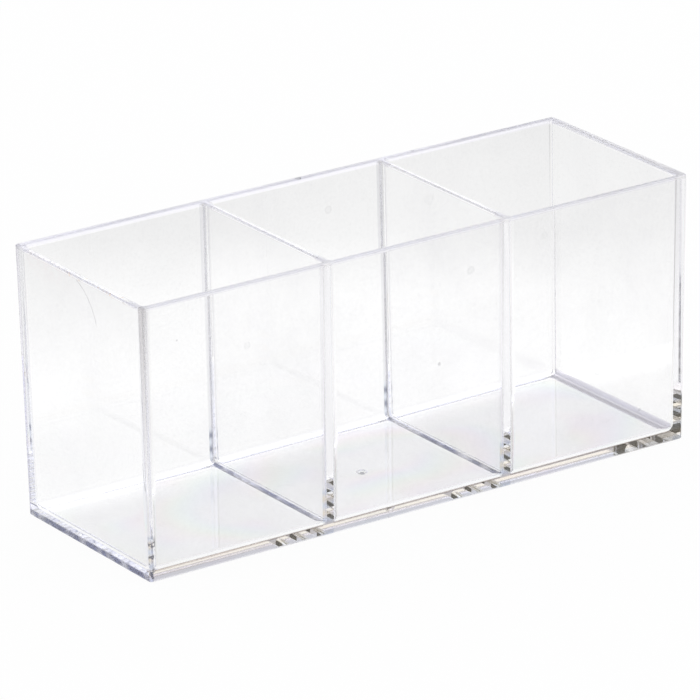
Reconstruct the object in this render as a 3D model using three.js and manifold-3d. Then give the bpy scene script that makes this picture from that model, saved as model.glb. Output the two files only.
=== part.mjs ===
// Clear, open-topped make-up organizer: a long box with three equal compartments in a row.
// Lengths are in millimetres. The origin is the centre of the underside, +X runs along the
// length, -Y is the front and +Z is up.

import * as THREE from 'three';
import { mergeVertices } from 'three/addons/utils/BufferGeometryUtils.js';
import Module from 'manifold-3d';

const wasm = await Module();
wasm.setup();

// Overall size at the rim
const length = 240;
const depth = 85;
const height = 105;
const compartments = 3;

// Thickness of the plastic; a wall and a divider are measured at the rim
const wall = 3;
const floor = 3;
const divider = 2.4;

// Draft: how far a face leans from the rim down to the table, so that the mould lets go
const outsideLean = 1.3;
const insideLean = 1.3;
const dividerLean = 0.4;

// Rounded edges and corners
const outerCorner = 1.2;
const innerCorner = 1.5;
const outerRim = 0.3;
const innerRim = 1.7;
const dividerRim = 0.9;
const baseRound = 0.8;
const footRound = 3;
const dividerFootRound = 1.2;

// Gate well: the round dimple under the middle of the floor, with the cut-off sprue's nub in it
const wellRadius = 2.2;
const wellDepth = 0.8;
const nubRadius = 0.7;
const nubHeight = 0.4;

// Fineness of the curves, and how far a cutting shape runs past what it cuts
const arcSteps = 6;
const wellSides = 32;
const overrun = 5;

// How far a quarter round of this radius falls short of its corner, at a height above its start
function roundInset(radius, above) {
  if (above >= radius) return 0;
  return radius - Math.sqrt(radius ** 2 - (radius - above) ** 2);
}

// Heights above the start of a quarter round, closer together where it lies flatter
function roundLevels(radius) {
  const levels = [];
  for (let step = 0; step <= arcSteps; step += 1) {
    levels.push(radius * (1 - Math.cos((step / arcSteps) * (Math.PI / 2))));
  }
  return levels;
}

function sortedLevels(levels) {
  return [...new Set(levels)].sort((a, b) => a - b);
}

// Corner points of a rectangle with rounded corners, counter-clockwise seen from above
function roundedOutline({ left, right, front, back, radius }) {
  const centres = [
    [right - radius, back - radius],
    [left + radius, back - radius],
    [left + radius, front + radius],
    [right - radius, front + radius],
  ];
  return centres.flatMap(([x, y], corner) =>
    Array.from({ length: arcSteps + 1 }, (_, step) => {
      const angle = (corner + step / arcSteps) * (Math.PI / 2);
      return new THREE.Vector2(x + radius * Math.cos(angle), y + radius * Math.sin(angle));
    }),
  );
}

// Closed skin through outlines stacked from the lowest up; every outline has as many points
function loft(sections) {
  const outlines = sections.map(roundedOutline);
  const around = outlines[0].length;
  const places = outlines.flatMap((points, row) =>
    points.flatMap((point) => [point.x, point.y, sections[row].z]),
  );
  const index = [];
  for (let row = 0; row < sections.length - 1; row += 1) {
    for (let i = 0; i < around; i += 1) {
      const a = row * around + i;
      const b = row * around + ((i + 1) % around);
      index.push(a, b, b + around, a, b + around, a + around);
    }
  }
  const top = (sections.length - 1) * around;
  for (const [a, b, c] of THREE.ShapeUtils.triangulateShape(outlines[0], [])) {
    index.push(c, b, a, top + a, top + b, top + c);
  }
  const geometry = new THREE.BufferGeometry();
  geometry.setAttribute('position', new THREE.Float32BufferAttribute(places, 3));
  geometry.setIndex(index);
  return geometry;
}

function toSolid(geometry) {
  const bare = geometry.clone();
  bare.deleteAttribute('normal');
  bare.deleteAttribute('uv');
  const merged = mergeVertices(bare);
  return new wasm.Manifold(
    new wasm.Mesh({
      numProp: 3,
      vertProperties: Float32Array.from(merged.attributes.position.array),
      triVerts: Uint32Array.from(merged.index.array),
    }),
  );
}

function toGeometry(solid) {
  const mesh = solid.getMesh();
  const geometry = new THREE.BufferGeometry();
  geometry.setAttribute('position', new THREE.BufferAttribute(mesh.vertProperties, 3));
  geometry.setIndex(new THREE.BufferAttribute(mesh.triVerts, 1));
  geometry.computeVertexNormals();
  return geometry;
}

// How far a face that leans this much by the table has come in at a height
function leanAt(lean, z) {
  return lean * (1 - z / height);
}

// Solid block with the outside shape: leaning sides, a rounded lower edge and a rounded rim
function outsideBlock() {
  const levels = sortedLevels([
    ...roundLevels(baseRound),
    ...roundLevels(outerRim).map((level) => height - level),
  ]);
  return toSolid(
    loft(
      levels.map((z) => {
        const inset =
          leanAt(outsideLean, z) + roundInset(baseRound, z) + roundInset(outerRim, height - z);
        const halfLength = length / 2 - inset;
        const halfDepth = depth / 2 - inset;
        return {
          z,
          left: -halfLength,
          right: halfLength,
          front: -halfDepth,
          back: halfDepth,
          radius: outerCorner,
        };
      }),
    ),
  );
}

// Clear widths at the rim, before its edges are rounded
const insideDepth = depth - 2 * wall;
const compartmentLength =
  (length - 2 * wall - (compartments - 1) * divider) / compartments;

// Faces that close a compartment: how far each leans, and its rounds at the foot and the rim
const outerSide = { lean: insideLean, foot: footRound, rim: innerRim };
const dividerSide = { lean: dividerLean, foot: dividerFootRound, rim: dividerRim };

// How far such a face stands in, at a height, from its place at the rim
function faceInset({ lean, foot, rim }, z) {
  return leanAt(lean, z) + roundInset(foot, z - floor) - roundInset(rim, height - z);
}

// The space inside one compartment, from below the floor's top to above the rim
function compartmentSpace(number) {
  const left = -length / 2 + wall + number * (compartmentLength + divider);
  const right = left + compartmentLength;
  const leftSide = number === 0 ? outerSide : dividerSide;
  const rightSide = number === compartments - 1 ? outerSide : dividerSide;
  const levels = sortedLevels(
    [outerSide, dividerSide].flatMap(({ foot, rim }) => [
      ...roundLevels(foot).map((level) => floor + level),
      ...roundLevels(rim).map((level) => height - level),
    ]),
  );
  const sections = levels.map((z) => {
    const halfDepth = insideDepth / 2 - faceInset(outerSide, z);
    return {
      z,
      left: left + faceInset(leftSide, z),
      right: right - faceInset(rightSide, z),
      front: -halfDepth,
      back: halfDepth,
      radius: innerCorner + roundInset(innerRim, height - z),
    };
  });
  return toSolid(
    loft([
      { ...sections[0], z: floor - overrun },
      ...sections,
      { ...sections.at(-1), z: height + overrun },
    ]),
  );
}

// The gate well, with a hollow left in it for the nub, revolved about the box's middle
function gateWell() {
  const profile = [
    new THREE.Vector2(0, -overrun),
    new THREE.Vector2(wellRadius, -overrun),
    new THREE.Vector2(wellRadius, 0),
    new THREE.Vector2(wellRadius - wellDepth / 2, wellDepth),
    new THREE.Vector2(nubRadius, wellDepth),
    new THREE.Vector2(nubRadius, wellDepth - nubHeight),
    new THREE.Vector2(0, wellDepth - nubHeight),
  ];
  return toSolid(new THREE.LatheGeometry(profile, wellSides).rotateX(Math.PI / 2));
}

// Each panel is its own piece of clear plastic
function clearPlastic() {
  return new THREE.MeshStandardMaterial({
    color: 0xf1f4f6,
    roughness: 0.06,
    metalness: 0,
    transparent: true,
    opacity: 0.35,
  });
}

const organizer = new THREE.Group();
organizer.name = 'makeup_organizer';

function addPanel(name, solid) {
  const mesh = new THREE.Mesh(toGeometry(solid), clearPlastic());
  mesh.name = name;
  organizer.add(mesh);
}

// A block for parting, wider and longer than the box, between two depths and two heights
function partingBlock(front, back, bottom, top) {
  const geometry = new THREE.BoxGeometry(length + 2 * overrun, back - front, top - bottom);
  return toSolid(geometry.translate(0, (front + back) / 2, (bottom + top) / 2));
}

// The box is shaped as a whole and then parted where its panels meet, so that leaning faces,
// rounded feet and seams agree everywhere. The seams across the box lie past the rounded
// corners, which the front and back panels carry.
const past = depth / 2 + overrun;
const above = height + overrun;
const seam = insideDepth / 2 - leanAt(insideLean, floor) - footRound - innerCorner;
const block = outsideBlock();
let walls = block.intersect(partingBlock(-past, past, floor, above));
for (let number = 0; number < compartments; number += 1) {
  walls = walls.subtract(compartmentSpace(number));
}

addPanel(
  'base_panel',
  block.intersect(partingBlock(-past, past, -overrun, floor)).subtract(gateWell()),
);
addPanel('front_panel', walls.intersect(partingBlock(-past, -seam, 0, above)));
addPanel('back_panel', walls.intersect(partingBlock(seam, past, 0, above)));

// Between the seams the end panels and the dividers stand apart, here sorted from left to right
function middleX(solid) {
  const { min, max } = solid.boundingBox();
  return (min[0] + max[0]) / 2;
}
const crosswise = walls
  .intersect(partingBlock(-seam, seam, 0, above))
  .decompose()
  .sort((a, b) => middleX(a) - middleX(b));
crosswise.forEach((solid, place) => {
  if (place === 0) addPanel('left_end_panel', solid);
  else if (place === crosswise.length - 1) addPanel('right_end_panel', solid);
  else addPanel(`divider_${place}`, solid);
});

export default organizer;
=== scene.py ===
import math

import bmesh
import bpy
from mathutils import Matrix, Vector


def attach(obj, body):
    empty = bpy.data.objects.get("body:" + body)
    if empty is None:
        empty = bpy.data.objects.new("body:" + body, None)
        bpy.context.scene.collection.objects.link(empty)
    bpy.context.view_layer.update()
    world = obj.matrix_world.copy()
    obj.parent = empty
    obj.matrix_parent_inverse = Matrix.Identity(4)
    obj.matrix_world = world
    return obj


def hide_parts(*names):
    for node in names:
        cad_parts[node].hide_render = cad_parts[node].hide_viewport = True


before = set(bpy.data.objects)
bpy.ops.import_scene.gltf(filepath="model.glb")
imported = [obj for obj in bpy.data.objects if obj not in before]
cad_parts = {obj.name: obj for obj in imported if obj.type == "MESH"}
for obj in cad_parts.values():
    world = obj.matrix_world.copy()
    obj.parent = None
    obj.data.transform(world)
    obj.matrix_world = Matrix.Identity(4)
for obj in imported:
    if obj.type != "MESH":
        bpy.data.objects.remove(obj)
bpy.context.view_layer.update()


# Base panel: the floor of the box, a flat plate of clear polystyrene with a rounded lower edge.
# The plastic was shot in through its middle, which leaves a round well with a cut-off nub below.
# The box is one moulding, so its panels share outlines and meet at bonds that can't be seen.
MM = 0.001
LENGTH, DEPTH, HEIGHT = 240 * MM, 85 * MM, 105 * MM
WALL, FLOOR, DIVIDER = 3 * MM, 3 * MM, 2.4 * MM
OUTSIDE_LEAN, INSIDE_LEAN, DIVIDER_LEAN = 1.3 * MM, 1.3 * MM, 0.4 * MM
OUTER_CORNER, INNER_CORNER = 1.2 * MM, 1.5 * MM
OUTER_RIM, INNER_RIM, DIVIDER_RIM = 0.3 * MM, 1.7 * MM, 0.9 * MM
BASE_ROUND, FOOT_ROUND, DIVIDER_FOOT_ROUND = 0.8 * MM, 3.0 * MM, 1.2 * MM
ROUND_STEPS, WELL_SIDES, SHARP_ANGLE = 10, 40, math.radians(50)
BOND_GAP = 0.01 * MM
COMPARTMENTS = 3
COMPARTMENT_LENGTH = (LENGTH - 2 * WALL - (COMPARTMENTS - 1) * DIVIDER) / COMPARTMENTS
PITCH = COMPARTMENT_LENGTH + DIVIDER
WELL_RADIUS, WELL_DEPTH, NUB_RADIUS, NUB_HEIGHT = 2.2 * MM, 0.8 * MM, 0.7 * MM, 0.4 * MM
PLASTIC, BOND = 0, 1
POLYSTYRENE_IOR = 1.585


def lean_at(lean, z):
    """How far a face that leans this much by the table has come in at a height."""
    return lean * (1 - z / HEIGHT)


def short_of(radius, above):
    """How far a quarter round falls short of its corner at a height above its start."""
    if above >= radius:
        return 0.0
    return radius - math.sqrt(max(radius**2 - (radius - above) ** 2, 0.0))


def round_heights(radius):
    """Heights at which a quarter round is drawn, closer together where it lies flatter."""
    turns = [math.pi / 2 * step / ROUND_STEPS for step in range(ROUND_STEPS + 1)]
    return [radius * (1 - math.cos(turn)) for turn in turns]


def in_order(heights):
    """Heights from the lowest up, each of them once."""
    return sorted(set(round(height, 8) for height in heights))


def outside_at(z):
    """The outside outline at a height: height, left, right and half the depth."""
    inset = lean_at(OUTSIDE_LEAN, z) + short_of(BASE_ROUND, z) + short_of(OUTER_RIM, HEIGHT - z)
    return z, -LENGTH / 2 + inset, LENGTH / 2 - inset, DEPTH / 2 - inset


def inside_at(z, number):
    """The outline of one compartment at a height, as outside_at gives it."""
    at_left, at_right = number == 0, number == COMPARTMENTS - 1
    left = -LENGTH / 2 + WALL + number * PITCH
    right = left + COMPARTMENT_LENGTH
    left += lean_at(INSIDE_LEAN if at_left else DIVIDER_LEAN, z)
    left += short_of(FOOT_ROUND if at_left else DIVIDER_FOOT_ROUND, z - FLOOR)
    right -= lean_at(INSIDE_LEAN if at_right else DIVIDER_LEAN, z)
    right -= short_of(FOOT_ROUND if at_right else DIVIDER_FOOT_ROUND, z - FLOOR)
    left -= short_of(INNER_RIM if at_left else DIVIDER_RIM, HEIGHT - z)
    right += short_of(INNER_RIM if at_right else DIVIDER_RIM, HEIGHT - z)
    half_depth = DEPTH / 2 - WALL - lean_at(INSIDE_LEAN, z) - short_of(FOOT_ROUND, z - FLOOR)
    return z, left, right, half_depth + short_of(INNER_RIM, HEIGHT - z)


def rounded_face(bm, outline, corner):
    """A level face with this outline and rounded corners."""
    z, left, right, half_depth = outline
    verts = bmesh.ops.create_grid(bm, x_segments=1, y_segments=1, size=0.5)["verts"]
    bmesh.ops.scale(bm, vec=(right - left, 2 * half_depth, 1), verts=verts)
    bmesh.ops.translate(bm, vec=((left + right) / 2, 0, z), verts=verts)
    rounded = bmesh.ops.bevel(
        bm, geom=verts, offset=corner, offset_type="OFFSET", segments=ROUND_STEPS,
        profile=0.5, affect="VERTICES", material=-1,
    )
    return rounded["verts"][0].link_faces[0]


def extruded(bm, loop):
    """New verts and edges drawn off a loop of edges, still in its place."""
    grown = bmesh.ops.extrude_edge_only(bm, edges=loop)["geom"]
    verts = [part for part in grown if isinstance(part, bmesh.types.BMVert)]
    fresh = set(verts)
    edges = [part for part in grown if isinstance(part, bmesh.types.BMEdge)]
    return verts, [edge for edge in edges if fresh.issuperset(edge.verts)]


def drawn_through(bm, loop, outlines):
    """Draw a skin from a loop on the first outline through the others; gives its last loop."""
    for (z, left, right, half_depth), (z2, left2, right2, half_depth2) in zip(outlines, outlines[1:]):
        verts, loop = extruded(bm, loop)
        middle, middle2 = (left + right) / 2, (left2 + right2) / 2
        bmesh.ops.scale(
            bm, vec=((right2 - left2) / (right - left), half_depth2 / half_depth, 1),
            space=Matrix.Translation((-middle, 0, 0)), verts=verts,
        )
        bmesh.ops.translate(bm, vec=(middle2 - middle, 0, z2 - z), verts=verts)
    return loop


def filled(bm, edges, finish=PLASTIC):
    """Close the gap between loops of edges with level triangles."""
    made = bmesh.ops.triangle_fill(bm, use_beauty=True, edges=edges)["geom"]
    for part in made:
        if isinstance(part, bmesh.types.BMFace):
            part.material_index = finish


def clear_mesh(name, bm):
    """A closed mesh of clear plastic, smooth over its rounds and true over its flats."""
    bmesh.ops.recalc_face_normals(bm, faces=bm.faces)
    mesh = bpy.data.meshes.new(name)
    bm.to_mesh(mesh)
    bm.free()
    piece = bpy.data.objects.new(name, mesh)
    bpy.context.scene.collection.objects.link(piece)
    mesh.polygons.foreach_set("use_smooth", [True] * len(mesh.polygons))
    mesh.set_sharp_from_angle(angle=SHARP_ANGLE)
    flats = piece.modifiers.new("true flats", "WEIGHTED_NORMAL")
    flats.mode, flats.weight, flats.keep_sharp = "FACE_AREA", 100, True
    return piece


def shader_node(tree, kind, inputs, **settings):
    """A shader node with its settings made and its sockets filled or linked."""
    made = tree.nodes.new("ShaderNode" + kind)
    for name, setting in settings.items():
        setattr(made, name, setting)
    for socket, value in inputs.items():
        if isinstance(value, bpy.types.NodeSocket):
            tree.links.new(value, made.inputs[socket])
        else:
            made.inputs[socket].default_value = value
    return made


def maths(tree, operation, *values):
    """One step of arithmetic on sockets or numbers."""
    return shader_node(tree, "Math", dict(enumerate(values)), operation=operation).outputs[0]


def eased(tree, value, start, stop, low=0.0, high=1.0):
    """Smoothly from low to high as a value goes from start to stop."""
    inputs = {"Value": value, "From Min": start, "From Max": stop, "To Min": low, "To Max": high}
    made = shader_node(tree, "MapRange", inputs, interpolation_type="SMOOTHSTEP")
    return made.outputs["Result"]


def eased_off(tree, value, start, stop):
    """Smoothly from 1 down to 0 as a value goes from start to stop."""
    return eased(tree, value, start, stop, 1.0, 0.0)


def product(tree, *shares):
    """The product of some sockets or numbers."""
    first, *others = shares
    for other in others:
        first = maths(tree, "MULTIPLY", first, other)
    return first


def within(tree, value, start, full, full_end, end):
    """Up from 0 to 1 between two values, and down again between two others."""
    return product(tree, eased(tree, value, start, full), eased_off(tree, value, full_end, end))


def blended(tree, share, first, second, blend="MIX"):
    """A colour that goes from the first to the second as the share goes from 0 to 1."""
    inputs = {"Factor": share, 6: first, 7: second}
    return shader_node(tree, "Mix", inputs, data_type="RGBA", blend_type=blend).outputs[2]


def noise(tree, place, scale, detail=2.0, roughness=0.5):
    """Cloudy noise between 0 and 1; the scale is its number of blobs in a metre."""
    inputs = {"Vector": place, "Scale": scale, "Detail": detail, "Roughness": roughness}
    return shader_node(tree, "TexNoise", inputs).outputs["Fac"]


def stretched(tree, place, scales):
    """A place measured with its own scale along each axis."""
    inputs = {0: place, 1: scales}
    return shader_node(tree, "VectorMath", inputs, operation="MULTIPLY").outputs["Vector"]


def distance(tree, place, centre):
    """How far a place is from a centre."""
    inputs = {0: place, 1: centre}
    return shader_node(tree, "VectorMath", inputs, operation="DISTANCE").outputs["Value"]


def new_group(name, inputs, outputs):
    """An empty shader group; gives its tree and its sockets inside, those given and those put out."""
    group = bpy.data.node_groups.new(name, "ShaderNodeTree")
    for in_out, sockets in (("INPUT", inputs), ("OUTPUT", outputs)):
        for socket, kind in sockets:
            group.interface.new_socket(socket, in_out=in_out, socket_type="NodeSocket" + kind)
    return group, group.nodes.new("NodeGroupInput").outputs, group.nodes.new("NodeGroupOutput").inputs


def group_outputs(tree, group, inputs):
    """What a group puts out where it is used in a tree."""
    return shader_node(tree, "Group", inputs, node_tree=group).outputs


# Clear polystyrene straight from the mould: a trace of haze in drifting clouds, and a fine mottle
# from dust and handling. Together they take away a few per cent of the light at most.
CLEAREST, HAZIEST = (0.998, 0.998, 0.999, 1), (0.935, 0.934, 0.939, 1)
CLOUD_SCALE, CLOUD_SHARE, CLOUD_ROUGHNESS = 34.0, 0.45, 0.02
MOTTLE_SCALE, MOTTLE_SHARE = 800.0, 0.55
moulded, given, out = new_group(
    "moulded_haze", [("Place", "Vector")], [("Colour", "Color"), ("Roughness", "Float")]
)
clouds = eased(moulded, noise(moulded, given["Place"], CLOUD_SCALE, 4.0, 0.6), 0.35, 0.75)
mottle = eased(moulded, noise(moulded, given["Place"], MOTTLE_SCALE, 3.0, 0.7), 0.46, 0.7)
haze = maths(
    moulded, "ADD", product(moulded, clouds, CLOUD_SHARE), product(moulded, mottle, MOTTLE_SHARE)
)
moulded.links.new(blended(moulded, haze, CLEAREST, HAZIEST), out["Colour"])
moulded.links.new(eased(moulded, clouds, 0.55, 1.0, 0.0, CLOUD_ROUGHNESS), out["Roughness"])

# Painted shade: the dark and tinted lines that light bent through clear plastic draws along its edges
# are painted into its colour by place, the same from every side. The painted shade is lavender along the
# rim and at the right end's foot, and brownish grey in the front left corner. It is grey in columns where
# the ends and dividers meet the front, in the left end's back corner, and beside the dividers at the
# back. It is dark blue at the left end's lower edge, at the dividers' feet and low in the corners beside
# them, and a brown line over a beige one at the foot of the front. Low in the front's columns painted
# light is split into blue and gold, with dark flecks in the left one. The rim, the left end's lower
# edge and the right end's foot are also a little satin.
WHITE = (1, 1, 1, 1)
# Painted shade along the rim: lavender on the long walls, paler on the other pieces.
PAINTED_RIM_SHADE, PALE_PAINTED_RIM_SHADE, RIM_FADE = (0.94, 0.93, 0.99, 1), (0.99, 0.985, 1.0, 1), (1.6 * MM, 0.8 * MM)
# Painted shade: the colours that darken and tint the plastic at each place along its edges.
PAINTED_COLUMN_SHADE, PAINTED_CORNER_SHADE = (0.86, 0.85, 0.88, 1), (0.42, 0.40, 0.41, 1)
PAINTED_LEFT_BACK_SHADE, PAINTED_LEFT_EDGE_SHADE = (0.66, 0.65, 0.71, 1), (0.035, 0.04, 0.09, 1)
PAINTED_INNER_CORNER_SHADE, PAINTED_LOW_CORNER_SHADE = (0.74, 0.74, 0.77, 1), (0.07, 0.08, 0.14, 1)
PAINTED_FOOT_LINE_SHADE, PAINTED_FOOT_BAND_SHADE = (0.34, 0.27, 0.21, 1), (0.72, 0.64, 0.53, 1)
PAINTED_RIGHT_FOOT_SHADE, PAINTED_DIVIDER_FOOT_SHADE = (0.66, 0.64, 0.74, 1), (0.08, 0.09, 0.16, 1)
# Painted light: gold and blue fringes that stand for light split low in the front's columns.
PAINTED_GOLD_FRINGE, PAINTED_BLUE_FRINGE, FLECK_TONE = (0.72, 0.62, 0.48, 1), (0.56, 0.62, 0.74, 1), (0.05, 0.05, 0.06, 1)
FRINGE_TOP, FRINGE_STEP, FRINGE_START = 19 * MM, 5.5 * MM, 6.3 * MM
COLUMN_HALF, COLUMN_ASIDE, DIVIDER_AT = 2.2 * MM, -2.6 * MM, PITCH / 2
EDGE_BLOTS, FOOT_BLOTS, CORNER_FLECKS = 160.0, 90.0, 620.0
HAIR = 0.05 * MM
SATIN, LEFT_EDGE_SATIN = 0.3, 0.15
# A group that paints shade into the plastic's colour along its edges.
edge_shade, given, out = new_group(
    "painted_edge_shade", [("Place", "Vector"), ("Painted Rim Shade", "Color"), ("Rim Satin", "Float")],
    [("Colour", "Color"), ("Roughness", "Float")],
)


def walls_in(value, half, start, full, low=0.0, high=1.0):
    """Smoothly from low to high between two depths below an outer face, counted in walls."""
    return eased(edge_shade, value, half - start * WALL, half - full * WALL, low, high)


place = given["Place"]
side_x, side_y, rise = shader_node(edge_shade, "SeparateXYZ", {0: place}).outputs
to_left, to_front = product(edge_shade, side_x, -1.0), product(edge_shade, side_y, -1.0)
rim = eased(edge_shade, rise, HEIGHT - RIM_FADE[0], HEIGHT - RIM_FADE[1])
front_face = walls_in(to_front, DEPTH / 2, 0.75, 0.6)
front_foot = walls_in(to_front, DEPTH / 2, 1.3, 1.0)
front_corner = product(
    edge_shade, front_face, walls_in(to_left, LENGTH / 2, 1.25, 1.1),
    walls_in(to_left, LENGTH / 2, 0.6, 0.45, 0.2, 1.0), eased(edge_shade, rise, 0.2 * HEIGHT, HEIGHT, 0.0, 0.9),
)
left_face = walls_in(to_left, LENGTH / 2, 0.7, 0.5)
left_back = product(edge_shade, left_face, walls_in(side_y, DEPTH / 2, 1.2, 1.05))
left_edge = product(
    edge_shade, left_face, eased_off(edge_shade, rise, 0.8 * FLOOR, 1.05 * FLOOR),
    eased(edge_shade, noise(edge_shade, place, EDGE_BLOTS, 1.0), 0.35, 0.6, 0.75, 1.0),
)
off_middle = maths(edge_shade, "ABSOLUTE", side_x)
off_divider = maths(edge_shade, "ABSOLUTE", maths(edge_shade, "SUBTRACT", off_middle, DIVIDER_AT))
inner_corner = product(
    edge_shade, walls_in(side_y, DEPTH / 2, 1.7, 1.6), walls_in(side_y, DEPTH / 2, 0.9, 0.8, 1.0, 0.0),
    within(edge_shade, off_divider, 0.45 * DIVIDER, 0.55 * DIVIDER, 1.1 * DIVIDER, 1.25 * DIVIDER),
)
inside = walls_in(maths(edge_shade, "ABSOLUTE", side_y), DEPTH / 2, 2.0, 1.8, 1.0, 0.0)
right_foot = product(
    edge_shade, inside, walls_in(side_x, LENGTH / 2, 2.6, 2.4), walls_in(side_x, LENGTH / 2, 1.0, 0.9, 1.0, 0.0),
    within(edge_shade, rise, FLOOR - 2 * HAIR, FLOOR - HAIR, FLOOR + 0.8 * FOOT_ROUND, FLOOR + FOOT_ROUND),
)
divider_foot = product(
    edge_shade, inside, eased(edge_shade, noise(edge_shade, place, FOOT_BLOTS, 1.0), 0.4, 0.62, 0.45, 1.0),
    eased_off(edge_shade, off_divider, DIVIDER, 1.2 * DIVIDER),
    within(edge_shade, rise, FLOOR - 2 * HAIR, FLOOR - HAIR, FLOOR + 0.3 * FOOT_ROUND, FLOOR + 0.4 * FOOT_ROUND),
)
foot_line = product(
    edge_shade, front_foot, within(edge_shade, rise, 1.2 * FLOOR, 1.4 * FLOOR, 1.5 * FLOOR, 1.65 * FLOOR)
)
foot_band = product(
    edge_shade, front_face, within(edge_shade, rise, 0.6 * FLOOR, 0.8 * FLOOR, 1.2 * FLOOR, 1.4 * FLOOR)
)
columns = maths(
    edge_shade, "MAXIMUM", walls_in(side_x, LENGTH / 2, 2.0, 1.9), walls_in(to_left, LENGTH / 2, 1.0, 0.9)
)
for column_at in (COLUMN_ASIDE - DIVIDER_AT, COLUMN_ASIDE + DIVIDER_AT):
    off_column = maths(edge_shade, "ABSOLUTE", maths(edge_shade, "SUBTRACT", side_x, column_at))
    column = eased_off(edge_shade, off_column, COLUMN_HALF, 1.15 * COLUMN_HALF)
    columns = maths(edge_shade, "MAXIMUM", columns, column)
columns = product(edge_shade, columns, front_face)
split = product(edge_shade, columns, eased_off(edge_shade, rise, 0.9 * FRINGE_TOP, FRINGE_TOP))
low = eased_off(edge_shade, rise, 0.8 * FRINGE_TOP, FRINGE_TOP)
flecks = product(
    edge_shade, low, front_face, walls_in(to_left, LENGTH / 2, 1.3, 1.1),
    eased(edge_shade, noise(edge_shade, place, CORNER_FLECKS, 1.0), 0.52, 0.58),
)
# Painted light: the fringes go from gold to blue and back in bands up the columns.
fringe_turn = product(edge_shade, maths(edge_shade, "SUBTRACT", rise, FRINGE_START), 2 * math.pi / FRINGE_STEP)
blueness = maths(edge_shade, "MULTIPLY_ADD", maths(edge_shade, "COSINE", fringe_turn), 0.5, 0.5)
# The painted shade is laid over white, the rim first, then each place in turn.
colour = blended(edge_shade, rim, WHITE, given["Painted Rim Shade"])
for share, tone in (
    (columns, PAINTED_COLUMN_SHADE), (front_corner, PAINTED_CORNER_SHADE), (left_back, PAINTED_LEFT_BACK_SHADE),
    (inner_corner, PAINTED_INNER_CORNER_SHADE), (left_edge, PAINTED_LEFT_EDGE_SHADE), (foot_band, PAINTED_FOOT_BAND_SHADE),
    (foot_line, PAINTED_FOOT_LINE_SHADE), (right_foot, PAINTED_RIGHT_FOOT_SHADE), (divider_foot, PAINTED_DIVIDER_FOOT_SHADE),
    (split, blended(edge_shade, blueness, PAINTED_GOLD_FRINGE, PAINTED_BLUE_FRINGE)), (flecks, FLECK_TONE),
    (product(edge_shade, low, inner_corner), blended(edge_shade, blueness, PAINTED_LOW_CORNER_SHADE, PAINTED_BLUE_FRINGE)),
):
    colour = blended(edge_shade, share, colour, tone)
edge_shade.links.new(colour, out["Colour"])
satin = product(edge_shade, rim, given["Rim Satin"])
for share, roughness in ((left_edge, LEFT_EDGE_SATIN), (right_foot, SATIN)):
    satin = maths(edge_shade, "MAXIMUM", satin, product(edge_shade, share, roughness))
edge_shade.links.new(satin, out["Roughness"])

# A dried drop of water or a speck of dust: a fine ring with a faint stain inside it.
DROP_STAIN, WOBBLE_SCALE, WOBBLE = (0.25, 0.25, 0.27, 1), 900.0, 0.5
drop, given, out = new_group(
    "dried_drop", [("Place", "Vector"), ("Centre", "Vector"), ("Radius", "Float")], [("Mask", "Float")]
)
away = maths(drop, "DIVIDE", distance(drop, given["Place"], given["Centre"]), given["Radius"])
wobble = product(drop, noise(drop, given["Place"], WOBBLE_SCALE), WOBBLE)
away = maths(drop, "ADD", away, wobble)
ring = within(drop, away, 0.7, 1.0, 1.0, 1.4)
stain = eased(drop, away, 0.9, 1.3, 0.6, 0.0)
drop.links.new(maths(drop, "MAXIMUM", ring, stain), out["Mask"])


def clear_material(name, drops=(), painted_rim_shade=PALE_PAINTED_RIM_SHADE, rim_satin=SATIN):
    """Clear plastic with painted shade along its edges and some dried drops, each a centre and radius in
    millimetres and a strength.
    """
    material = bpy.data.materials.new(name)
    material.use_nodes = True
    tree = material.node_tree
    shader = tree.nodes["Principled BSDF"]
    shader.inputs["Transmission Weight"].default_value = 1.0
    shader.inputs["IOR"].default_value = POLYSTYRENE_IOR
    place = tree.nodes.new("ShaderNodeTexCoord").outputs["Object"]
    hazy = group_outputs(tree, moulded, {"Place": place})
    edges = group_outputs(tree, edge_shade, {"Place": place, "Painted Rim Shade": painted_rim_shade, "Rim Satin": rim_satin})
    # The painted shade along the edges is multiplied into the haze colour.
    colour = blended(tree, 1.0, hazy["Colour"], edges["Colour"], "MULTIPLY")
    roughness = maths(tree, "ADD", hazy["Roughness"], edges["Roughness"])
    for centre, radius, strength in drops:
        inputs = {"Place": place, "Centre": [length * MM for length in centre], "Radius": radius * MM}
        mask = product(tree, group_outputs(tree, drop, inputs)["Mask"], strength)
        colour = blended(tree, mask, colour, DROP_STAIN)
    tree.links.new(colour, shader.inputs["Base Color"])
    tree.links.new(roughness, shader.inputs["Roughness"])
    return material, tree, place, shader, colour


# Faces at which two panels of the one moulding meet can't be seen, so their finish is fully clear.
bond = bpy.data.materials.new("bond")
bond.use_nodes = True
bond.node_tree.nodes["Principled BSDF"].inputs["Alpha"].default_value = 0.0


def in_place(piece, node, plastic):
    """Give a panel its finish and let it stand for its CAD node."""
    piece.data.materials.append(plastic)
    piece.data.materials.append(bond)
    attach(piece, "root")
    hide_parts(node)


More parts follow.
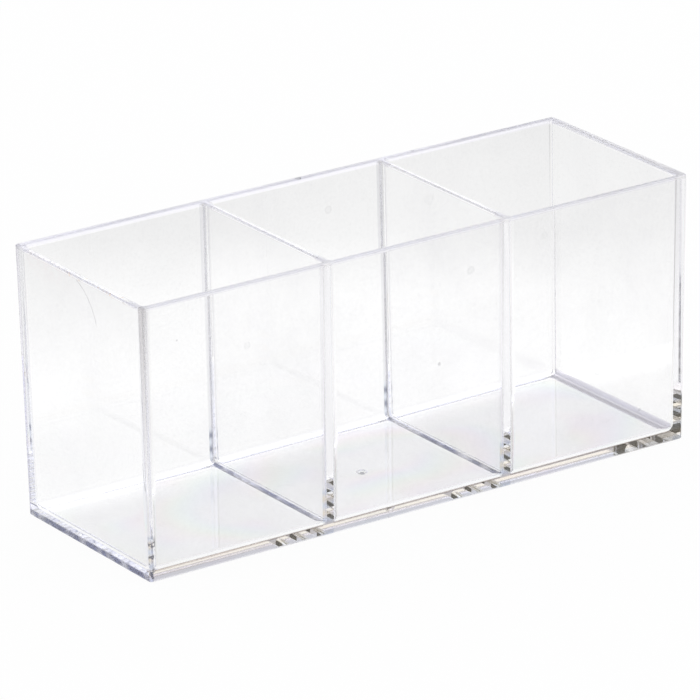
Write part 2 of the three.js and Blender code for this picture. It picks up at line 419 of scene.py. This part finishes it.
base = bmesh.new()
top = rounded_face(base, outside_at(FLOOR), OUTER_CORNER)
top_loop = top.edges[:]
base.faces.remove(top)
floors = [
    rounded_face(base, inside_at(FLOOR, number), INNER_CORNER) for number in range(COMPARTMENTS)
]
base_outlines = [outside_at(z) for z in reversed(in_order(round_heights(BASE_ROUND) + [FLOOR]))]
bottom_loop = drawn_through(base, top_loop, base_outlines)
filled(base, top_loop + [edge for face in floors for edge in face.edges], BOND)
well = bmesh.ops.create_circle(base, cap_ends=False, radius=WELL_RADIUS, segments=WELL_SIDES)["verts"]
well_loop = list({edge for vert in well for edge in vert.link_edges})
filled(base, bottom_loop + well_loop)
for radius, next_radius, climb in (
    (WELL_RADIUS, WELL_RADIUS - WELL_DEPTH / 2, WELL_DEPTH),
    (WELL_RADIUS - WELL_DEPTH / 2, NUB_RADIUS, 0),
    (NUB_RADIUS, NUB_RADIUS, -NUB_HEIGHT),
):
    verts, well_loop = extruded(base, well_loop)
    narrowing = next_radius / radius
    bmesh.ops.scale(base, vec=(narrowing, narrowing, 1), verts=verts)
    bmesh.ops.translate(base, vec=(0, 0, climb), verts=verts)
filled(base, well_loop)

# Stress left in the plastic as it cooled round the gate shows as faint bands of colour, and the
# torn end of the sprue as a dark spot on one side of the well.
STRESS_BANDS, STRESS_SHARE, STRESS_SHAPE, STRESS_TURNS = 160.0, 0.055, (1.0, 1.6, 0.0), (0.0, 2.1, 4.2)
STRESS_DRIFT, DRIFT_SCALE, PATCH_SCALE = 9.0, 22.0, 30.0
TORN_AT, TORN_RADIUS, TORN_TONE = (-0.9 * MM, -1.5 * MM, 0), 1.5 * MM, (0.12, 0.12, 0.13, 1)
BASE_DROPS = [((-89.7, 27.9, 3), 1.6, 0.12), ((101.5, -13.8, 3), 2.2, 0.12), ((-112.7, -13, 3), 2.0, 0.10)]
base_plastic, tree, place, shader, colour = clear_material("clear_base", BASE_DROPS)
drift = product(tree, noise(tree, place, DRIFT_SCALE, 1.0), STRESS_DRIFT)
spread = distance(tree, stretched(tree, place, STRESS_SHAPE), (0, 0, 0))
phase = maths(tree, "ADD", product(tree, spread, STRESS_BANDS), drift)
waves = [
    maths(tree, "MULTIPLY_ADD", maths(tree, "COSINE", maths(tree, "ADD", phase, turn)), 0.5, 0.5)
    for turn in STRESS_TURNS
]
rainbow = shader_node(tree, "CombineColor", dict(enumerate(waves))).outputs[0]
patches = eased(tree, noise(tree, place, PATCH_SCALE, 1.0), 0.42, 0.62, 0.0, STRESS_SHARE)
colour = blended(tree, patches, colour, blended(tree, 1.0, colour, rainbow, "MULTIPLY"))
torn = eased_off(tree, distance(tree, place, TORN_AT), 0.5 * TORN_RADIUS, 1.1 * TORN_RADIUS)
colour = blended(tree, torn, colour, TORN_TONE)
tree.links.new(colour, shader.inputs["Base Color"])
in_place(clear_mesh("clear_base", base), "base_panel", base_plastic)


# Front and back panels: the long upright walls, thicker at the foot than at the rim, because
# the mould's faces lean. They carry every rounded upright corner of the compartments.
SEAM = DEPTH / 2 - WALL - lean_at(INSIDE_LEAN, FLOOR) - FOOT_ROUND - INNER_CORNER
LONG_SEAM, CROSS_SEAM = SEAM + BOND_GAP / 2, SEAM - BOND_GAP / 2


def above_bond(outline):
    """The same outline, lifted by the hair's breadth that parts two bonded panels."""
    z, *sides = outline
    return z + BOND_GAP, *sides


walls = bmesh.new()
outline = above_bond(outside_at(FLOOR))
start = rounded_face(walls, outline, OUTER_CORNER)
lower_edges = start.edges[:]
walls.faces.remove(start)
rim_heights = in_order([HEIGHT - above for above in round_heights(OUTER_RIM)])
rim_edges = drawn_through(walls, lower_edges, [outline] + [outside_at(z) for z in rim_heights])
foot_rounds = round_heights(FOOT_ROUND) + round_heights(DIVIDER_FOOT_ROUND)
inner_heights = in_order(
    [FLOOR + above for above in foot_rounds if above > 0]
    + [HEIGHT - above for above in round_heights(INNER_RIM) + round_heights(DIVIDER_RIM)]
)
for number in range(COMPARTMENTS):
    outline = above_bond(inside_at(FLOOR, number))
    start = rounded_face(walls, outline, INNER_CORNER)
    loop = start.edges[:]
    walls.faces.remove(start)
    lower_edges += loop
    rim_edges += drawn_through(walls, loop, [outline] + [inside_at(z, number) for z in inner_heights])
filled(walls, rim_edges)
filled(walls, lower_edges, BOND)
bmesh.ops.recalc_face_normals(walls, faces=walls.faces)


def parted(name, cuts):
    """What is left of the walls inside some planes, each cut closed by a bond."""
    bm = walls.copy()
    for point, outward in cuts:
        cut = bmesh.ops.bisect_plane(
            bm, geom=bm.verts[:] + bm.edges[:] + bm.faces[:], dist=1e-8,
            plane_co=point, plane_no=outward, clear_outer=True,
        )["geom_cut"]
        edges = [part for part in cut if isinstance(part, bmesh.types.BMEdge)]
        if edges:
            filled(bm, edges, BOND)
    return clear_mesh(name, bm)


FRONT_DROPS = [
    ((-75.7, -41.8, 81.4), 1.5, 0.20), ((21.7, -41.8, 88.6), 1.7, 0.24), ((79.4, -41.8, 36.3), 1.7, 0.20),
    ((54.8, -41.8, 95.0), 1.6, 0.12), ((-105.4, -41.8, 90.0), 0.65, 0.7), ((7.5, -41.8, 55.3), 0.6, 0.9),
    ((98.4, -41.8, 16.4), 0.8, 0.4),
]
BACK_DROPS = [
    ((14.5, 39.3, 90.6), 1.6, 0.20), ((61.5, 39.3, 84.7), 2.2, 0.12),
    ((54.4, 41.5, 104.8), 0.7, 0.9), ((2.7, 41.5, 104.8), 1.3, 1.0),
]
# The long walls take the lavender painted rim shade.
front_plastic = clear_material("clear_front", FRONT_DROPS, PAINTED_RIM_SHADE)[0]
back_plastic = clear_material("clear_back", BACK_DROPS, PAINTED_RIM_SHADE)[0]
in_place(parted("clear_front_wall", [((0, -LONG_SEAM, 0), (0, 1, 0))]), "front_panel", front_plastic)
in_place(parted("clear_back_wall", [((0, LONG_SEAM, 0), (0, -1, 0))]), "back_panel", back_plastic)


# End panels and dividers: four upright plates across the box between the long walls. The two
# ends lean with the mould as the long walls do, and the two dividers are thinner.
CROSSWISE = ["left_end_panel", "divider_1", "divider_2", "right_end_panel"]
DIVIDER_SATIN, WORN_SATIN = 0.1, 0.06
divider_plastic = clear_material("clear_divider", rim_satin=DIVIDER_SATIN)[0]

# The left end is the worn one: its rim is chipped and has picked up specks of make-up, a hairline
# runs down from it in an arc, and a few fine level scratches cross it lower down.
CHIP_SCALE, CHIP_DARK, CHIP_ORANGE = 620.0, (0.45, 0.40, 0.40, 1), (0.85, 0.62, 0.45, 1)
PINK_SCALE, PINK_CLOUD, HAIRLINE_TONE = 300.0, (0.975, 0.945, 0.95, 1), (0.40, 0.40, 0.42, 1)
HAIRLINE_CENTRE, HAIRLINE_RADIUS, HAIRLINE_HALF = (0, 8.0 * MM, 84.3 * MM), 20.7 * MM, 0.2 * MM
SCRATCH_SCALES, SCRATCH_TONE = (0, 20, 1800), (0.80, 0.80, 0.81, 1)
LEFT_END_DROPS = [((-119.6, 35.4, 77.0), 0.8, 0.9)]
left_end_plastic, tree, place, shader, colour = clear_material(
    "clear_left_end", LEFT_END_DROPS, rim_satin=WORN_SATIN
)
side_x, side_y, rise = shader_node(tree, "SeparateXYZ", {0: place}).outputs
at_rim = eased(tree, rise, HEIGHT - 1.8 * MM, HEIGHT - 1.0 * MM)
for offset, chip_tone in ((0.0, CHIP_DARK), (3.0, CHIP_ORANGE)):
    inputs = {0: place, 1: (offset, offset, offset)}
    moved = shader_node(tree, "VectorMath", inputs, operation="ADD").outputs["Vector"]
    chips = product(tree, at_rim, eased(tree, noise(tree, moved, CHIP_SCALE), 0.62, 0.66))
    colour = blended(tree, chips, colour, chip_tone)
cloud = product(
    tree, eased(tree, rise, 0.88 * HEIGHT, 0.99 * HEIGHT), eased(tree, side_y, -0.1 * DEPTH, 0.25 * DEPTH),
    eased(tree, noise(tree, place, PINK_SCALE, 3.0), 0.35, 0.65),
)
colour = blended(tree, cloud, colour, PINK_CLOUD)
from_centre = distance(tree, stretched(tree, place, (0, 1, 1)), HAIRLINE_CENTRE)
off_line = maths(tree, "ABSOLUTE", maths(tree, "SUBTRACT", from_centre, HAIRLINE_RADIUS))
hairline = product(
    tree, eased_off(tree, off_line, 0.5 * HAIRLINE_HALF, HAIRLINE_HALF),
    eased(tree, rise, 0.845 * HEIGHT, 0.87 * HEIGHT), eased_off(tree, side_y, 0.0, 0.01 * DEPTH),
    eased_off(tree, side_x, -LENGTH / 2 + 0.5 * WALL, -LENGTH / 2 + 0.6 * WALL),
)
colour = blended(tree, hairline, colour, HAIRLINE_TONE)
scratches = product(
    tree, eased(tree, noise(tree, stretched(tree, place, SCRATCH_SCALES), 1.0, 1.0), 0.66, 0.72),
    within(tree, rise, 0.32 * HEIGHT, 0.33 * HEIGHT, 0.37 * HEIGHT, 0.38 * HEIGHT),
    eased(tree, side_y, 0.12 * DEPTH, 0.2 * DEPTH),
)
colour = blended(tree, scratches, colour, SCRATCH_TONE)
tree.links.new(colour, shader.inputs["Base Color"])
crosswise_plastic = {
    "left_end_panel": left_end_plastic,
    "divider_1": divider_plastic,
    "divider_2": divider_plastic,
    "right_end_panel": clear_material("clear_right_end")[0],
}
for number, node in enumerate(CROSSWISE):
    middle = (number - COMPARTMENTS / 2) * PITCH
    cuts = [
        ((0, -CROSS_SEAM, 0), (0, -1, 0)),
        ((0, CROSS_SEAM, 0), (0, 1, 0)),
        ((middle - PITCH / 2, 0, 0), (-1, 0, 0)),
        ((middle + PITCH / 2, 0, 0), (1, 0, 0)),
    ]
    in_place(parted("clear_" + node.removesuffix("_panel"), cuts), node, crosswise_plastic[node])
walls.free()


# Studio: a white floor under a white room, as in a product photograph. Seen directly both are
# white. What the clear plastic shows and mirrors of them is greyer by place, with a dark place low
# on the room's left and a soft light above the camera, and that draws the edges of the plastic.
CAMERA_TURN, CAMERA_RISE, CAMERA_ROLL = math.radians(-33.918), math.radians(20.493), math.radians(-1.069)
CAMERA_AWAY, CAMERA_RIGHT, CAMERA_UP = 2411.7 * MM, -2.722 * MM, -2.394 * MM
FOCAL_PIXELS, PICTURE_PIXELS, SENSOR = 6548.0, 700, 36.0
FAR_CLIP, BOUNCES = 50, 240

towards_camera = Vector((
    math.sin(CAMERA_TURN) * math.cos(CAMERA_RISE),
    -math.cos(CAMERA_TURN) * math.cos(CAMERA_RISE),
    math.sin(CAMERA_RISE),
))
level_right = (-towards_camera).cross(Vector((0, 0, 1))).normalized()
level_up = towards_camera.cross(level_right)
right = level_right * math.cos(CAMERA_ROLL) + level_up * math.sin(CAMERA_ROLL)
up = level_up * math.cos(CAMERA_ROLL) - level_right * math.sin(CAMERA_ROLL)
camera = bpy.data.objects.new("camera", bpy.data.cameras.new("camera"))
bpy.context.scene.collection.objects.link(camera)
placing = Matrix((right, up, towards_camera)).transposed().to_4x4()
placing.translation = (
    Vector((0, 0, HEIGHT / 2)) + towards_camera * CAMERA_AWAY + right * CAMERA_RIGHT + up * CAMERA_UP
)
camera.matrix_world = placing
camera.data.sensor_fit = "HORIZONTAL"
camera.data.sensor_width = SENSOR
camera.data.lens = SENSOR * FOCAL_PIXELS / PICTURE_PIXELS
camera.data.clip_end = FAR_CLIP
scene = bpy.context.scene
scene.camera = camera
scene.view_settings.view_transform = "Standard"
scene.cycles.max_bounces = BOUNCES
scene.cycles.glossy_bounces = BOUNCES
scene.cycles.transmission_bounces = BOUNCES
scene.cycles.transparent_max_bounces = BOUNCES
scene.cycles.use_denoising = True


def along(tree, vector, direction):
    """How far a vector reaches in a direction."""
    inputs = {0: vector, 1: direction}
    return shader_node(tree, "VectorMath", inputs, operation="DOT_PRODUCT").outputs["Value"]


def greys(tree, value, stops):
    """A grey by a value from 0 to 1, from stops that are each a value and a grey."""
    made = shader_node(tree, "ValToRGB", {0: value})
    ramp = made.color_ramp
    while len(ramp.elements) < len(stops):
        ramp.elements.new(1.0)
    for element, (at, grey) in zip(ramp.elements, stops):
        element.position = at
        element.color = (grey, grey, grey, 1)
    return made.outputs["Color"]


# The floor that the plastic shows goes by depth from half a metre before the box to half a metre
# behind it. It is dimmer far out to the sides, further out on the left. It is a little brighter far
# behind the box from its middle to the right, and brighter by the back wall, where light gathers.
FLOOR_REACH, FLOOR_DROP, FLOOR_SIDES = 4.0, 0.05 * MM, 96
FLOOR_PAINT, FLOOR_ROUGHNESS, DIRECT_GLOW = (0.9, 0.9, 0.9, 1), 0.9, 0.96
FLOOR_BY_DEPTH = [
    (0.25, 0.75), (0.38, 0.95), (0.45, 1.0), (0.54, 1.0),
    (0.6, 1.05), (0.7, 1.01), (0.77, 0.89), (0.92, 0.85),
]
DIM_FROM, DIM_TO, DIMMED, LEFT_FURTHER = 0.165, 0.265, 0.7, 0.085
FAR_START, FAR_DEPTH, FAR_GAIN = (-0.08, -0.01), (0.11, 0.21), 0.05
FAR_END, FAR_END_SHARE = (0.05, 0.1), 0.5
BY_BACK_WALL, BY_BACK_GAIN = (0.020, 0.036, 0.043, 0.047), 0.12
BELOW_BACK_WALL, BELOW_BACK_GAIN = (0.0370, 0.0378, 0.0420, 0.0428), 0.4
floor_bm = bmesh.new()
bmesh.ops.create_circle(floor_bm, cap_ends=True, radius=FLOOR_REACH, segments=FLOOR_SIDES)
bmesh.ops.translate(floor_bm, vec=(0, 0, -FLOOR_DROP), verts=floor_bm.verts)
floor_mesh = bpy.data.meshes.new("studio_floor")
floor_bm.to_mesh(floor_mesh)
floor_bm.free()
studio_floor = bpy.data.objects.new("studio_floor", floor_mesh)
scene.collection.objects.link(studio_floor)
paint = bpy.data.materials.new("studio_floor")
paint.use_nodes = True
tree = paint.node_tree
matt = tree.nodes["Principled BSDF"]
matt.inputs["Base Color"].default_value = FLOOR_PAINT
matt.inputs["Roughness"].default_value = FLOOR_ROUGHNESS
matt.inputs["Specular IOR Level"].default_value = 0.0
ray = tree.nodes.new("ShaderNodeLightPath").outputs
place = tree.nodes.new("ShaderNodeTexCoord").outputs["Object"]
level_camera = Vector((math.sin(CAMERA_TURN), -math.cos(CAMERA_TURN), 0))
behind = along(tree, place, -level_camera)
aside = along(tree, place, level_right)
depthwise = along(tree, place, (0, 1, 0))
sideways = maths(tree, "MAXIMUM", aside, maths(tree, "SUBTRACT", -LEFT_FURTHER, aside))
far_right = product(
    tree, eased(tree, aside, *FAR_START), eased(tree, behind, *FAR_DEPTH, 0.0, FAR_GAIN),
    eased(tree, aside, *FAR_END, 1.0, FAR_END_SHARE),
)
by_back_wall = maths(
    tree, "ADD", product(tree, within(tree, depthwise, *BY_BACK_WALL), BY_BACK_GAIN),
    product(tree, within(tree, depthwise, *BELOW_BACK_WALL), BELOW_BACK_GAIN),
)
brightness = product(
    tree, eased(tree, sideways, DIM_FROM, DIM_TO, 1.0, DIMMED),
    maths(tree, "ADD", far_right, 1.0), maths(tree, "ADD", by_back_wall, 1.0),
)
inputs = {0: greys(tree, maths(tree, "ADD", behind, 0.5), FLOOR_BY_DEPTH), "Scale": brightness}
shown = shader_node(tree, "VectorMath", inputs, operation="SCALE").outputs["Vector"]
glow = tree.nodes.new("ShaderNodeEmission")
tree.links.new(blended(tree, ray["Is Camera Ray"], shown, WHITE), glow.inputs["Color"])
by_plastic = maths(tree, "MAXIMUM", ray["Is Glossy Ray"], ray["Is Transmission Ray"])
glowing = maths(tree, "MAXIMUM", product(tree, ray["Is Camera Ray"], DIRECT_GLOW), by_plastic)
lit_floor = tree.nodes.new("ShaderNodeMixShader")
tree.links.new(glowing, lit_floor.inputs[0])
tree.links.new(matt.outputs[0], lit_floor.inputs[1])
tree.links.new(glow.outputs[0], lit_floor.inputs[2])
tree.links.new(lit_floor.outputs[0], tree.nodes["Material Output"].inputs["Surface"])
floor_mesh.materials.append(paint)

# The room goes by height from the horizon up, behind the box and by the camera, and by side.
ROOM_BEHIND = [(0.0, 0.75), (0.2, 0.72), (0.34, 0.72), (0.48, 0.6), (0.67, 0.9), (0.87, 1.15), (1.0, 1.1)]
ROOM_BY_CAMERA = [(0.0, 0.85), (0.2, 0.8), (0.34, 0.8), (0.48, 0.85), (0.67, 1.35), (0.87, 1.1), (1.0, 1.1)]
LEFT_TINT, RIGHT_TINT, TINT_REACH = (0.65, 0.63, 0.58, 1), (1.05, 1.07, 1.28, 1), 0.6
DARK_HEIGHTS, DARK_SIDE, DARK_TONE = (0.2, 0.28, 0.42, 0.5), (-0.45, -0.25), (0.08, 0.07, 0.05, 1)
room = bpy.data.worlds.new("white_room")
scene.world = room
room.use_nodes = True
tree = room.node_tree
tree.nodes.clear()
direction = tree.nodes.new("ShaderNodeTexCoord").outputs["Generated"]
upward = along(tree, direction, (0, 0, 1))
rightness = along(tree, direction, level_right)
by_camera = eased(tree, along(tree, direction, level_camera), -0.3, 0.6)
lit = blended(tree, by_camera, greys(tree, upward, ROOM_BEHIND), greys(tree, upward, ROOM_BY_CAMERA))
tint = blended(tree, eased(tree, rightness, -TINT_REACH, TINT_REACH), LEFT_TINT, RIGHT_TINT)
lit = blended(tree, 1.0, lit, tint, "MULTIPLY")
low_left = product(tree, within(tree, upward, *DARK_HEIGHTS), eased_off(tree, rightness, *DARK_SIDE))
lit = blended(tree, low_left, lit, DARK_TONE)
ray = tree.nodes.new("ShaderNodeLightPath").outputs
plain = maths(tree, "MAXIMUM", ray["Is Camera Ray"], ray["Is Diffuse Ray"])
background = tree.nodes.new("ShaderNodeBackground")
tree.links.new(blended(tree, plain, lit, WHITE), background.inputs["Color"])
output = tree.nodes.new("ShaderNodeOutputWorld")
tree.links.new(background.outputs[0], output.inputs["Surface"])
